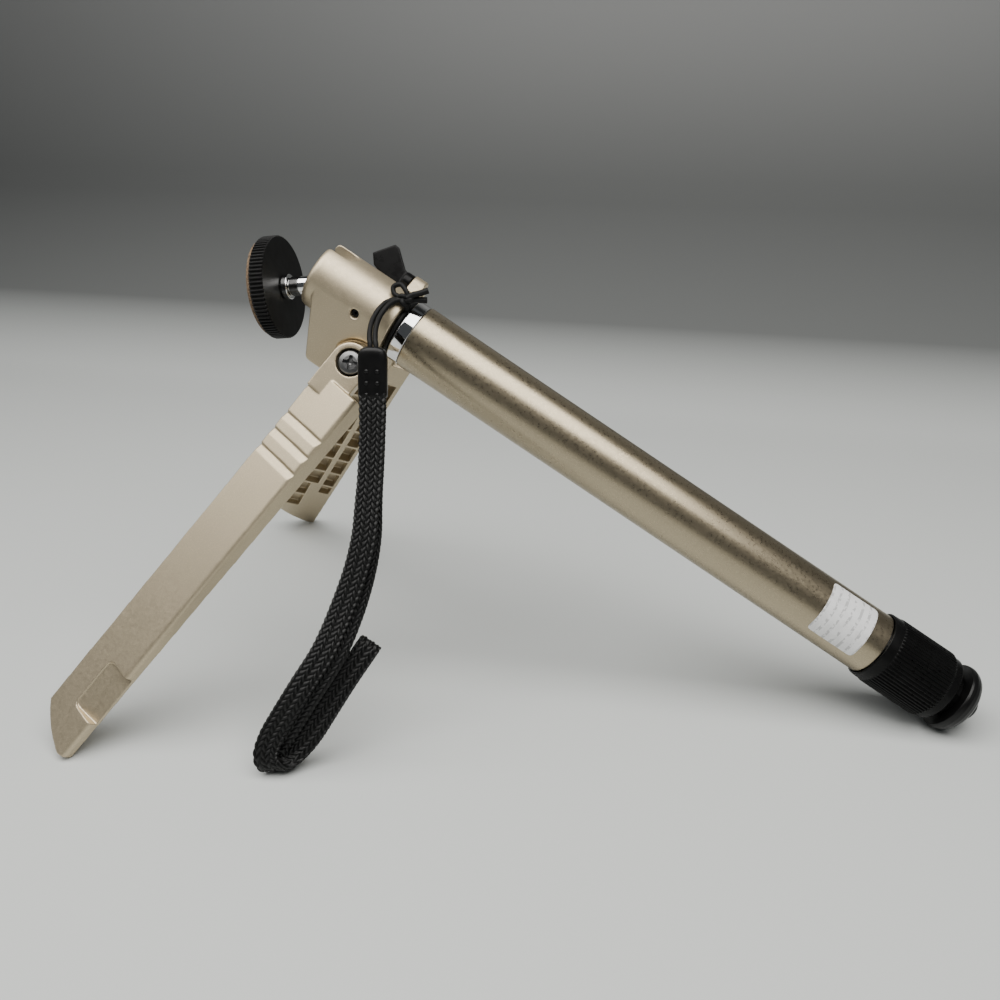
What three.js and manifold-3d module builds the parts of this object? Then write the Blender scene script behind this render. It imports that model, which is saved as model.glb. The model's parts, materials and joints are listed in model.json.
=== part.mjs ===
// Pocket camera monopod, standing open on two folding legs and on the foot of its own tube.
// Millimetres, +Z up, with the origin on the floor under the middle of the object.
//
// Head, tube and legs are drawn in the tube's frame and then leaned over together. In that frame X
// runs along the tube from the head to the foot, Y is sideways, Z is square to both, and X = 0 is
// the head end of the outer tube. Left is the -Y side.
import * as THREE from 'three';
import { mergeVertices } from 'three/addons/utils/BufferGeometryUtils.js';
import Module from 'manifold-3d';

const wasm = await Module();
wasm.setup();
const rad = THREE.MathUtils.degToRad;

// ---- driving dimensions ----------------------------------------------------------------------
const GAP = 0.3;                       // between pieces that touch
const TINY = 1e-4;                     // vertices closer than this are one
const COARSE = 20;                     // sides of the small round parts
const FINE = 40;                       // sides of the large round parts

const JOINT_HEIGHT = 138.24;           // head end of the tube above the floor
const LEAN = rad(30.82);               // slope of the tube below level

const TUBE = { radius: 12.5, bore: 11.7, end: 208.4 };
const SECTIONS = [                     // inner tubes, with their plugs' outer ends
  { number: 2, radius: 10.6, bore: 9.9, start: 22, end: 214, plug: 11.3 },
  { number: 3, radius: 8.8, bore: 8.1, start: 32.3, end: 219, plug: 9.5 },
  { number: 4, radius: 7.0, bore: 6.3, start: 42.6, end: 224, plug: 7.7 },
  { number: 5, radius: 5.2, bore: 4.3, start: 52.9, end: 232, plug: 5.9 },
];
const PLUG = { flange: 5.0, stub: 4.7, wall: 0.4 };
const BUSH = { length: 5.5, start: 208.2 };

const BARREL = { radius: 13.1, front: -43.3, rear: -7.6, edge: 2.6 };
const BALL = { x: -36.3, radius: 7.6 };
const SOCKET = { mouth: 10.25, lip: 7.25, lipAhead: 3.0, bore: 8.0 };
const SLOT_HALF = 4.3;
const CHEEK = { bottom: -27.2, round: 1.8, rear: -9.2 };
const SET_SCREW = { x: -21.3, z: -0.5, radius: 1.35, hole: 1.7 };
const CORE = { bore: 5.8, start: -17.3 };

const STEM = { radius: 3.6, end: 17.6, pin: 2.4, pinEnd: 23.8 };
const FLANGE = { radius: 4.7, bore: 2.7, start: 17.9, end: 20.1 };
const DISC = { radius: 19.2, start: 20.4, end: 25.9, flutes: 80, fluteDepth: 0.55, bore: 3.55 };
const CORK = { radius: 17.9, start: 26.2, end: 27.4 };
const CAMERA_SCREW = { radius: 3.175, root: 2.65, pitch: 1.27, start: 24.1, end: 32.8 };
const STEM_DIRECTION = new THREE.Vector3(-0.79, -0.07, -0.6).normalize();

const LEVER = { y: 15.4, z: 10.55, turn: rad(-28.1), hub: 3.7, thick: 5.2 };
const PADDLE = [[-16.3, 2.6], [-18.7, 3.6], [-25.1, 9.1], [-27, 9.3], [-32.5, 1.9], [-29.6, -1.8],
  [-23.4, -3.8], [-16.3, -2.6]];         // the knob's outline, from its axis
const BOSS = { radius: 4.2, start: -13.6, end: -8.3, slit: [-10.9, -10.4] };
const LEVER_SCREW = { radius: 1.6, hole: 2.0 };

const RING = { start: -4.9, end: -0.2, radius: 12.3, bore: 9.7 };
const NECK = { spigot: 5.5, shank: 9.4, plug: 11.4, plugEnd: 14 };

const COLLAR = { start: 208.7, ribStart: 212.6, ribEnd: 236.3, end: 240, radius: 14, bore: 11.2 };
const COLLAR_RIBS = { count: 58, depth: 0.5 };
const COLLET = { start: 209.3, end: 213.3, inner: 10.9, outer: 12.4, split: 2 };
const FOOT = { back: 243.5, radius: 13.6, nub: 5.2, end: 254.6, bore: 8.9, boreEnd: 248 };
const FERRULE = { radius: 8.6, start: 232.3, end: 247.7, stub: 3.9, stubStart: 225 };

const STICKER = { start: 181.5, end: 201.2, from: -19, to: 85, radius: 12.8, thick: 0.3 };

const HINGE = { x: -12.81, y: 19.98, z: -14.35, cant: rad(27.1), open: rad(95.81) };
const TONGUE = { radius: 7.35, thick: 6.5, end: 16 };
const POCKET = { radius: 9.3, depth: 6.8 };
const COUNTERBORE = { radius: 5.35, depth: 2.6 };
const LEG = {
  start: 9.5, length: 177.5, heel: 166.2,  // along the leg, from the hinge
  face: 0.52, low: -8.05, high: 13.35,     // outer face and edges, from the hinge
  deep: 7.7, shallow: 4.4,                 // depth at the hinge end and at the tip
  wall: 1.7, skin: 1.6, rib: 1.7, pitch: 15.2, cells: 9, ribsFrom: 22, spine: 5.6, edge: 2,
};
const GRIPS = { at: [28.3, 35.8, 43.6], width: 3.6, depth: 0.8 };
const FINGER = { start: 140, end: 161, from: 2.2, corner: 3, shallow: 0.5, slope: 0.28 };
const PIVOT_SCREW = { head: 4.35, shaft: 1.9, tip: -15.5, top: 0.45, under: -1.6, cross: 5, slot: 0.9 };
const WASHER = { radius: 4.95, bore: 2.3, start: -2.3, end: -1.9 };

// The strap, in the leaned frame's own floor coordinates: points chosen by hand along its route.
const CORD = { diameter: 1.9, groove: -6.25, wrap: 10.7, sides: 8 };
const KNOT = { x: -8.2, reach: 15.7, angle: rad(58.3), size: [2.8, 2.0, 1.9] };
const STRAND_ROUTE = [[-0.6, -8.4, 153.9], [-3.6, -9.2, 153.9], [-5.4, -11.3, 153.3],
  [-6.4, -14, 152.2], [-7.3, -17, 150.4], [-7.4, -21, 148.2], [-6.7, -25, 145.8],
  [-5.6, -28.2, 143.6], [-5, -29.3, 142.3]];
const STRAND_SPACING = 2.6;
const CAP = { width: 10.4, thick: 5.6, top: [-4.9, -30, 141.8], bottom: [-4.4, -33.6, 124.5] };
const WEBBING = { width: 8.6, thick: 5, steps: 44, across: new THREE.Vector3(0.967, 0.254, 0) };
const WEBBING_ROUTE = [[-4.4, -33.8, 124], [-3.8, -37.4, 112], [-3.2, -42.2, 100],
  [-2.6, -47.5, 89], [-2, -52.6, 78.5], [-3.3, -58.6, 66.4], [-6.2, -66.6, 53.4],
  [-9.7, -74.9, 42.5], [-15.6, -82.2, 31.9], [-21.5, -87.1, 21.3], [-26.1, -90.5, 12.5],
  [-27.3, -92.2, 7.7], [-25.9, -91.5, 4.8], [-23.1, -88.5, 4.6], [-19.8, -85.1, 7.5],
  [-15.1, -81.3, 13.5], [-10.2, -76.1, 22.1], [-4.9, -70.6, 31.4], [0.9, -65.2, 40.8]];

// ---- finishes --------------------------------------------------------------------------------
function finish(color, roughness, metalness) {
  return new THREE.MeshStandardMaterial({ color, roughness, metalness });
}

const CHAMPAGNE = finish(0xc8bea5, 0.42, 0.6);
const TUBE_PAINT = finish(0xaa9b82, 0.35, 0.7);
const CHROME = finish(0xe6e6e8, 0.08, 1);
const STEEL = finish(0x9a9a96, 0.3, 1);
const ALUMINIUM = finish(0xb9bbbd, 0.35, 1);
const BLACK_ANODISED = finish(0x17181a, 0.4, 0.6);
const BLACK_PLASTIC = finish(0x1a1b1d, 0.5, 0);
const WHITE_PLASTIC = finish(0xd8d8d2, 0.5, 0);
const RUBBER = finish(0x161617, 0.75, 0);
const CORK_FINISH = finish(0x9a7446, 0.9, 0);
const STICKER_FINISH = finish(0xf0f0ee, 0.4, 0);
const NYLON = finish(0x131314, 0.9, 0);

// ---- solids ----------------------------------------------------------------------------------
// Every helper below returns a closed BufferGeometry; manifold-3d only joins and cuts them.
function toSolid(geometry) {
  const bare = geometry.clone();
  bare.deleteAttribute('normal');
  bare.deleteAttribute('uv');
  const merged = mergeVertices(bare, TINY);
  const points = merged.attributes.position.array;
  const corners = merged.index.array;
  const kept = [];
  let volume = 0;
  for (let i = 0; i < corners.length; i += 3) {
    const [a, b, c] = corners.slice(i, i + 3);
    if (a === b || b === c || c === a) continue;
    kept.push(a, b, c);
    const [p, q, r] = [a, b, c].map((n) => new THREE.Vector3().fromArray(points, 3 * n));
    volume += p.dot(q.cross(r));
  }
  const triVerts = new Uint32Array(volume < 0 ? kept.reverse() : kept);
  return new wasm.Manifold(new wasm.Mesh({ numProp: 3, vertProperties: points, triVerts }));
}

function toGeometry(solid) {
  const mesh = solid.getMesh();
  const geometry = new THREE.BufferGeometry();
  geometry.setAttribute('position', new THREE.BufferAttribute(mesh.vertProperties, 3));
  geometry.setIndex(new THREE.BufferAttribute(mesh.triVerts, 1));
  return geometry;
}

function join(first, ...others) {
  return toGeometry(others.reduce((sum, other) => sum.add(toSolid(other)), toSolid(first)));
}

function cut(first, ...others) {
  return toGeometry(others.reduce((rest, other) => rest.subtract(toSolid(other)), toSolid(first)));
}

function common(first, other) {
  return toGeometry(toSolid(first).intersect(toSolid(other)));
}

// A solid of revolution about X, from [x, radius] pairs that start and end on the axis.
function turned(profile, sides = FINE) {
  const points = profile.map(([x, radius]) => new THREE.Vector2(radius, x));
  return new THREE.LatheGeometry(points, sides).rotateZ(-Math.PI / 2);
}

function rod(start, end, radius, sides = COARSE) {
  return turned([[start, 0], [start, radius], [end, radius], [end, 0]], sides);
}

function ring(start, end, bore, radius, sides = FINE) {
  return turned([[start, bore], [start, radius], [end, radius], [end, bore], [start, bore]], sides);
}

function box([x0, x1], [y0, y1], [z0, z1]) {
  const geometry = new THREE.BoxGeometry(x1 - x0, y1 - y0, z1 - z0);
  return geometry.translate((x0 + x1) / 2, (y0 + y1) / 2, (z0 + z1) / 2);
}

function polygon(points) {
  return new THREE.Shape(points.map(([x, y]) => new THREE.Vector2(x, y)));
}

function extruded(shape, depth, curveSegments = 12) {
  return new THREE.ExtrudeGeometry(shape, { depth, bevelEnabled: false, curveSegments });
}

// An outline drawn in (X, Z), standing from y0 to y1.
function prismAcross(shape, y0, y1) {
  return extruded(shape, y1 - y0).rotateX(Math.PI / 2).translate(0, y1, 0);
}

// An outline drawn in (Y, Z), running from x0 to x1.
function prismAlong(shape, x0, x1) {
  const matrix = new THREE.Matrix4().set(0, 0, 1, x0, 1, 0, 0, 0, 0, 1, 0, 0, 0, 0, 0, 1);
  return extruded(shape, x1 - x0).applyMatrix4(matrix);
}

// A toothed wheel about X: its outline goes in to the root between the teeth.
function toothed({ count, root, radius, bore, start, end, flat }) {
  const shape = new THREE.Shape();
  const step = (2 * Math.PI) / count;
  for (let tooth = 0; tooth < count; tooth += 1) {
    for (const [share, r] of [[0, root], [0.5 - flat, radius], [0.5 + flat, radius]]) {
      const angle = (tooth + share) * step;
      const point = [r * Math.cos(angle), r * Math.sin(angle)];
      if (tooth === 0 && share === 0) shape.moveTo(...point);
      else if (flat > 0 || share !== 0.5 + flat) shape.lineTo(...point);
    }
  }
  const hole = new THREE.Path();
  hole.absarc(0, 0, bore, 0, 2 * Math.PI, true);
  shape.holes.push(hole);
  return prismAlong(shape, start, end);
}

// A tube of oval section along a smooth curve through the points; its width starts level.
function tubeAlong(points, width, thick, steps) {
  const shape = new THREE.Shape();
  for (let side = 0; side < CORD.sides; side += 1) {
    const angle = ((side + 0.5) / CORD.sides) * 2 * Math.PI;
    const point = [(width / 2) * Math.cos(angle), (thick / 2) * Math.sin(angle)];
    if (side === 0) shape.moveTo(...point);
    else shape.lineTo(...point);
  }
  const extrudePath = new THREE.CatmullRomCurve3(points);
  return new THREE.ExtrudeGeometry(shape, { steps, extrudePath });
}

// A tube of oval section whose width keeps as close as it can to one direction.
function ribbonAlong(points, { width, thick, steps, across }) {
  const curve = new THREE.CatmullRomCurve3(points);
  const positions = [];
  const index = [];
  const count = CORD.sides;
  for (let step = 0; step <= steps; step += 1) {
    const at = curve.getPointAt(step / steps);
    const tangent = curve.getTangentAt(step / steps);
    const wide = across.clone().addScaledVector(tangent, -across.dot(tangent)).normalize();
    const out = new THREE.Vector3().crossVectors(tangent, wide);
    for (let side = 0; side < count; side += 1) {
      const angle = ((side + 0.5) / count) * 2 * Math.PI;
      const point = at.clone().addScaledVector(wide, (width / 2) * Math.cos(angle));
      positions.push(...point.addScaledVector(out, (thick / 2) * Math.sin(angle)).toArray());
      const [a, b] = [step * count + side, step * count + ((side + 1) % count)];
      if (step < steps) index.push(a, a + count, b, b, a + count, b + count);
    }
  }
  for (let side = 1; side < count - 1; side += 1) {
    const last = steps * count;
    index.push(0, side, side + 1, last, last + side + 1, last + side);
  }
  const geometry = new THREE.BufferGeometry();
  geometry.setAttribute('position', new THREE.Float32BufferAttribute(positions, 3));
  geometry.setIndex(index);
  return geometry;
}

// ---- the assembly ----------------------------------------------------------------------------
const assembly = new THREE.Group();
const leaned = new THREE.Group();
leaned.rotation.y = LEAN;
leaned.position.z = JOINT_HEIGHT;
assembly.add(leaned);

function place(name, geometry, material, parent = leaned) {
  const mesh = new THREE.Mesh(toGeometry(toSolid(geometry)), material);
  mesh.name = name;
  mesh.geometry.computeVertexNormals();
  parent.add(mesh);
}

// Frame of one hinge: X along the folded leg, Y away from the tube, Z outward along the pivot.
function hingeMatrix(side) {
  const along = new THREE.Vector3(1, 0, 0);
  const outward = new THREE.Vector3(0, side * Math.cos(HINGE.cant), Math.sin(HINGE.cant));
  const away = new THREE.Vector3(0, side * Math.sin(HINGE.cant), -Math.cos(HINGE.cant));
  return new THREE.Matrix4().makeBasis(along, away, outward);
}

// Turns a solid drawn about X so that its X becomes the hinge's outward axis.
function aboutPivot(geometry, side) {
  return geometry.rotateY(-Math.PI / 2).applyMatrix4(hingeMatrix(side));
}

function hingePoint(side) {
  return new THREE.Vector3(HINGE.x, side * HINGE.y, HINGE.z);
}

function atHinge(geometry, side) {
  return geometry.translate(...hingePoint(side).toArray());
}

// ---- head ------------------------------------------------------------------------------------
function arcPoints(x, radius, reach, from, to, count) {
  return Array.from({ length: count + 1 }, (_, i) => {
    const angle = rad(from + ((to - from) * i) / count);
    return [x + reach * Math.cos(angle), radius + reach * Math.sin(angle)];
  });
}

function headBlock() {
  const { radius, front, rear, edge } = BARREL;
  const barrel = turned([[front, 0], ...arcPoints(front + edge, radius - edge, edge, 180, 90, 3),
    [rear, radius], [rear, 0]]);

  const cheek = new THREE.Shape();
  cheek.moveTo(-38, 0);
  cheek.lineTo(-38.2, -4.5);
  cheek.lineTo(-30.9, -25.3);
  cheek.quadraticCurveTo(-30.3, CHEEK.bottom + 0.4, -30.3 + CHEEK.round, CHEEK.bottom + 0.3);
  cheek.lineTo(CHEEK.rear - CHEEK.round, CHEEK.bottom);
  cheek.quadraticCurveTo(CHEEK.rear, CHEEK.bottom, CHEEK.rear, CHEEK.bottom + CHEEK.round);
  cheek.lineTo(rear, -13);
  cheek.lineTo(rear, 0);
  const cheeks = prismAcross(cheek, -radius, radius);

  const boss = rod(BOSS.start, BOSS.end, BOSS.radius).translate(0, LEVER.y, LEVER.z);
  const reach = Math.hypot(LEVER.y, LEVER.z);
  const web = box([BOSS.start, BOSS.end], [8.5, reach], [-BOSS.radius, BOSS.radius]);
  web.rotateX(Math.atan2(LEVER.z, LEVER.y));

  const lipX = BALL.x - SOCKET.lipAhead;
  const socket = turned([[front - 1, 0], [front - 1, SOCKET.mouth + 0.75], [front, SOCKET.mouth],
    [lipX, SOCKET.lip], [lipX + 0.8, SOCKET.bore], [CORE.start, SOCKET.bore], [CORE.start, CORE.bore],
    [rear + 1, CORE.bore], [rear + 1, 0]]);
  const slot = join(box([front - 1, BALL.x], [-SLOT_HALF, SLOT_HALF], [0, radius + 1]),
    rod(0, radius + 1, SLOT_HALF).rotateY(-Math.PI / 2).translate(BALL.x, 0, 0));

  const cheekHole = rod(-radius - 1, -SOCKET.bore + 1, SET_SCREW.hole, 20)
    .rotateZ(Math.PI / 2).translate(SET_SCREW.x, 0, SET_SCREW.z);
  const leverHole = rod(BOSS.start - 1, BOSS.end + 1, LEVER_SCREW.hole, 20)
    .translate(0, LEVER.y, LEVER.z);
  const slit = box(BOSS.slit, [reach - 2.4, reach + 6], [-8, 8]);
  slit.rotateX(Math.atan2(LEVER.z, LEVER.y));

  const pockets = [-1, 1].flatMap((side) => [
    atHinge(aboutPivot(rod(-POCKET.depth, 8, POCKET.radius, FINE), side), side),
    atHinge(aboutPivot(rod(PIVOT_SCREW.tip - 0.6, 0, PIVOT_SCREW.shaft + GAP, 20), side), side),
  ]);
  const body = join(barrel, cheeks, boss, web);
  return cut(body, socket, slot, cheekHole, leverHole, slit, ...pockets);
}

function addHead() {
  place('head_block', headBlock(), CHAMPAGNE);
  const cup = arcPoints(BALL.x, 0, BALL.radius + GAP, 45, 12, 4);
  const seatEnd = BALL.x + 14;
  place('ball_seat', turned([...cup, [seatEnd, 1.6], [seatEnd, 7.6], [cup[0][0], 7.6], cup[0]], COARSE),
    WHITE_PLASTIC);
  place('pressure_plug', rod(seatEnd + GAP, CORE.start - GAP, 7.6), STEEL);

  const socketed = cut(rod(-11.4, -8.4, SET_SCREW.radius, 16), rod(-12, -10, 0.7, 6));
  place('set_screw', socketed.rotateZ(Math.PI / 2).translate(SET_SCREW.x, 0, SET_SCREW.z), STEEL);
}

function addStud() {
  const stud = new THREE.Group();
  stud.position.set(BALL.x, 0, 0);
  stud.quaternion.setFromUnitVectors(new THREE.Vector3(1, 0, 0), STEM_DIRECTION);
  leaned.add(stud);

  const shoulder = Math.acos(STEM.radius / BALL.radius);
  const ball = arcPoints(0, 0, BALL.radius, 180, 90 - THREE.MathUtils.radToDeg(shoulder), 10);
  place('ball_stud', turned([...ball, [STEM.end, STEM.radius], [STEM.end, STEM.pin],
    [STEM.pinEnd, STEM.pin], [STEM.pinEnd, 0]], COARSE), CHROME, stud);
  place('stud_flange', ring(FLANGE.start, FLANGE.end, FLANGE.bore, FLANGE.radius), CHROME, stud);

  const rim = toothed({ count: DISC.flutes, root: DISC.radius - DISC.fluteDepth, radius: DISC.radius,
    bore: DISC.bore, start: DISC.start, end: DISC.end, flat: 0 });
  const bevels = turned([[DISC.start - 1, 0], [DISC.start - 1, DISC.radius - 2.2],
    [DISC.start + 1.2, DISC.radius + 0.1], [DISC.end, DISC.radius + 0.1], [DISC.end + 1, DISC.radius],
    [DISC.end + 1, 0]]);
  place('platform_disc', common(rim, bevels), BLACK_ANODISED, stud);
  place('cork_pad', ring(CORK.start, CORK.end, DISC.bore, CORK.radius), CORK_FINISH, stud);

  const threads = [];
  const first = CORK.end + 0.4;
  for (let turn = 0; turn < 4; turn += 1) {
    const x = first + turn * CAMERA_SCREW.pitch;
    threads.push([x, CAMERA_SCREW.root], [x + CAMERA_SCREW.pitch / 2, CAMERA_SCREW.radius]);
  }
  place('camera_screw', turned([[CAMERA_SCREW.start, 0], [CAMERA_SCREW.start, CAMERA_SCREW.radius],
    [first - 0.5, CAMERA_SCREW.radius], ...threads, [CAMERA_SCREW.end, CAMERA_SCREW.root],
    [CAMERA_SCREW.end, 0]], COARSE), STEEL, stud);
}

function addLever() {
  const lever = new THREE.Group();
  lever.position.set(0, LEVER.y, LEVER.z);
  lever.rotation.x = LEVER.turn;
  leaned.add(lever);

  const root = BOSS.start - 3.9;
  const hub = rod(root, BOSS.start - GAP, LEVER.hub);
  const plate = prismAcross(polygon(PADDLE), -LEVER.thick / 2, LEVER.thick / 2);
  const hole = rod(root + 0.6, BOSS.start, LEVER_SCREW.hole, 20);
  place('lock_knob', cut(join(hub, plate), hole), BLACK_PLASTIC, lever);
  place('lock_screw', rod(root + 1, BOSS.end - 0.2, LEVER_SCREW.radius, 20), STEEL, lever);
}

// ---- neck and tube ---------------------------------------------------------------------------
function addTube() {
  const neck = [[CORE.start + GAP, 0], [CORE.start + GAP, NECK.spigot], [BARREL.rear + GAP, NECK.spigot],
    [BARREL.rear + GAP, NECK.shank], [RING.end, NECK.shank], [RING.end, 9], [0.4, 9], [0.4, NECK.plug],
    [NECK.plugEnd, NECK.plug], [NECK.plugEnd, 0]];
  place('neck_plug', turned(neck), ALUMINIUM);
  place('chrome_ring', ring(RING.start, RING.end, RING.bore, RING.radius), CHROME);
  place('outer_tube', ring(0.1, TUBE.end, TUBE.bore, TUBE.radius), TUBE_PAINT);
  for (const { number, radius, bore, start, end, plug } of SECTIONS) {
    place(`section_${number}`, ring(start, end, bore, radius, COARSE), ALUMINIUM);
    const face = start - GAP;
    place(`friction_plug_${number}`, turned([[face - PLUG.flange, 0], [face - PLUG.flange, plug],
      [face, plug], [face, bore - PLUG.wall], [face + PLUG.stub, bore - PLUG.wall],
      [face + PLUG.stub, 0]], COARSE), WHITE_PLASTIC);
  }
  SECTIONS.slice(0, -1).forEach(({ number, bore }, index) => {
    const passing = SECTIONS[index + 1].radius;
    const start = BUSH.start + index * 5;
    place(`guide_bush_${number}`, ring(start, start + BUSH.length, passing + 0.25, bore - 0.2, COARSE),
      WHITE_PLASTIC);
  });
}

function addCollarAndFoot() {
  const collet = ring(COLLET.start, COLLET.end, COLLET.inner, COLLET.outer, COARSE);
  place('lock_collet', cut(collet, box([COLLET.start - 1, COLLET.end + 1],
    [-COLLET.split / 2, COLLET.split / 2], [0, 20])), BLACK_PLASTIC);

  const { start, ribStart, ribEnd, end, radius, bore } = COLLAR;
  const flare = ring(start, ribStart + 0.2, 12.9, radius);
  const ribs = toothed({ count: COLLAR_RIBS.count, root: radius - COLLAR_RIBS.depth, radius,
    bore: bore, start: ribStart, end: ribEnd, flat: 0.16 });
  const lip = turned([[ribEnd - 0.2, bore], [ribEnd - 0.2, radius - 0.6], [end - 1, radius - 0.9],
    [end, radius - 1.5], [end, bore], [ribEnd - 0.2, bore]]);
  const recess = ring(start - 1, COLLET.end + 0.6, 0.5, 12.9);
  place('twist_collar', join(cut(ribs, recess), flare, lip), BLACK_PLASTIC);

  place('foot_ferrule', turned([[FERRULE.stubStart, 0], [FERRULE.stubStart, FERRULE.stub],
    [FERRULE.start, FERRULE.stub], [FERRULE.start, FERRULE.radius], [FERRULE.end, FERRULE.radius],
    [FERRULE.end, 0]], COARSE), BLACK_PLASTIC);
  const dome = [[FOOT.back, FOOT.bore], [FOOT.back, 13.2], [244.3, 13.5], [245.6, FOOT.radius],
    [247.2, 13.1], [248.6, 12.2], [249.8, 10.6], [250.8, 8.4], [251.3, 6.2], [251.8, FOOT.nub],
    [253.4, 5.0], [254.3, 3.9], [FOOT.end, 2.4], [FOOT.end, 0], [FOOT.boreEnd, 0],
    [FOOT.boreEnd, FOOT.bore]];
  place('rubber_foot', turned([[FOOT.boreEnd, 0], [FOOT.boreEnd, FOOT.bore], ...dome.slice(0, 14)]),
    RUBBER);
}

function addSticker() {
  const shape = new THREE.Shape();
  // Angles are measured from the left side (-Y) up towards +Z.
  const angle = (degrees) => Math.PI - rad(degrees);
  const outer = STICKER.radius + STICKER.thick;
  shape.absarc(0, 0, outer, angle(STICKER.from), angle(STICKER.to), true);
  shape.absarc(0, 0, STICKER.radius, angle(STICKER.to), angle(STICKER.from), false);
  place('label_sticker', prismAlong(shape, STICKER.start, STICKER.end), STICKER_FINISH);
}

// ---- legs ------------------------------------------------------------------------------------
// A leg is drawn folded along the tube, with X along the leg from the hinge, Y outward and Z up.
function legBody() {
  const { start, length, heel, face, low, high, deep, shallow } = LEG;
  const side = new THREE.Shape();
  side.moveTo(start, face);
  for (const at of GRIPS.at) {
    side.lineTo(at, face);
    side.lineTo(at + 0.3, face - GRIPS.depth);
    side.lineTo(at + GRIPS.width, face);
  }
  side.lineTo(length, face);
  side.lineTo(length, face - shallow);
  side.lineTo(start, face - deep);
  const slab = extruded(side, high - low).translate(0, 0, low);

  const plan = new THREE.Shape();
  plan.moveTo(0, low - 1);
  plan.lineTo(heel, low - 1);
  plan.quadraticCurveTo(length - 3, (low + high) / 2 - 4, length, high - 3);
  plan.lineTo(length - 1, high + 1);
  plan.lineTo(0, high + 1);
  return cut(common(slab, prismAcross(plan, -10, 3)), edgeWaste());
}

// What the round along the leg's upper edge takes off.
function edgeWaste() {
  const { face, high, edge } = LEG;
  const waste = new THREE.Shape();
  waste.moveTo(face + 1, high + 1);
  waste.lineTo(face + 1, high - edge);
  waste.lineTo(face, high - edge);
  waste.quadraticCurveTo(face, high, face - edge, high);
  waste.lineTo(face - edge, high + 1);
  return prismAlong(waste, 0, LEG.length + 5);
}

// The finger recess: its floor slopes down towards the leg's upper edge.
function fingerRecess() {
  const { start, end, from, corner, shallow, slope } = FINGER;
  const plan = new THREE.Shape();
  plan.moveTo(start, 20);
  plan.lineTo(start, from + corner);
  plan.quadraticCurveTo(start, from, start + corner, from);
  plan.lineTo(end - corner, from);
  plan.quadraticCurveTo(end, from, end, from + corner);
  plan.lineTo(end, 20);
  const floor = (z) => LEG.face - shallow - slope * (z - from);
  const above = polygon([[floor(0), 0], [floor(20), 20], [10, 20], [10, 0]]);
  return common(prismAcross(plan, -10, 10), prismAlong(above, start - 1, end + 1));
}

function legPockets() {
  const top = LEG.face - LEG.skin;
  const solidFrom = FINGER.start - LEG.wall;     // nothing is hollow under the finger recess
  const pockets = [];
  for (let cell = 0; cell < LEG.cells; cell += 1) {
    const start = LEG.ribsFrom + cell * LEG.pitch + LEG.rib;
    const end = LEG.ribsFrom + (cell + 1) * LEG.pitch;
    const spineEdge = end > solidFrom ? FINGER.from - LEG.wall : LEG.spine - LEG.rib;
    pockets.push(box([start, end], [-10, top], [LEG.low + LEG.wall, spineEdge]));
    if (start < solidFrom) {
      pockets.push(box([start, Math.min(end, solidFrom)], [-10, top],
        [LEG.spine + LEG.rib / 2, LEG.high - LEG.wall]));
    }
  }
  return pockets;
}

function legSolid(side) {
  const tongue = new THREE.Shape();
  tongue.moveTo(TONGUE.end, -TONGUE.radius);
  tongue.lineTo(TONGUE.end, TONGUE.radius);
  tongue.lineTo(0, TONGUE.radius);
  tongue.absarc(0, 0, TONGUE.radius, Math.PI / 2, (3 * Math.PI) / 2, false);
  const pad = extruded(tongue, TONGUE.thick).translate(0, 0, -TONGUE.thick);
  pad.applyMatrix4(hingeMatrix(1));
  const relief = box([-20, 20], [-25, 25], [-25, -TONGUE.thick]).applyMatrix4(hingeMatrix(1));
  const counterbore = aboutPivot(rod(-COUNTERBORE.depth, 8, COUNTERBORE.radius), 1);
  const hole = aboutPivot(rod(-12, 0, PIVOT_SCREW.shaft + GAP, 20), 1);
  const leg = cut(join(legBody(), pad), relief, counterbore, hole, fingerRecess(),
    ...legPockets());
  return leg.scale(1, side, 1);
}

function pivotScrew(side) {
  const { head, shaft, tip, top, under, cross, slot } = PIVOT_SCREW;
  const screw = turned([[tip, 0], [tip, shaft - 0.6], [tip + 1, shaft], [under, shaft], [under, head],
    [top - 0.9, head], [top - 0.3, head - 0.5], [top, head - 1.7], [top, 0]]);
  const deep = top - 1.5;
  const recess = join(box([deep, top + 1], [-cross / 2, cross / 2], [-slot / 2, slot / 2]),
    box([deep, top + 1], [-slot / 2, slot / 2], [-cross / 2, cross / 2]));
  return atHinge(aboutPivot(cut(screw, recess), side), side);
}

function addLegs() {
  for (const [label, side] of [['left', -1], ['right', 1]]) {
    const hinge = new THREE.Group();
    hinge.position.copy(hingePoint(side));
    const axis = new THREE.Vector3(0, side * Math.cos(HINGE.cant), Math.sin(HINGE.cant));
    hinge.quaternion.setFromAxisAngle(axis, side * HINGE.open);
    leaned.add(hinge);
    place(`leg_${label}`, legSolid(side), CHAMPAGNE, hinge);
    place(`pivot_screw_${label}`, pivotScrew(side), STEEL);
    const washer = ring(WASHER.start, WASHER.end, WASHER.bore, WASHER.radius, COARSE);
    place(`washer_${label}`, atHinge(aboutPivot(washer, side), side), STEEL);
  }
}

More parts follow.
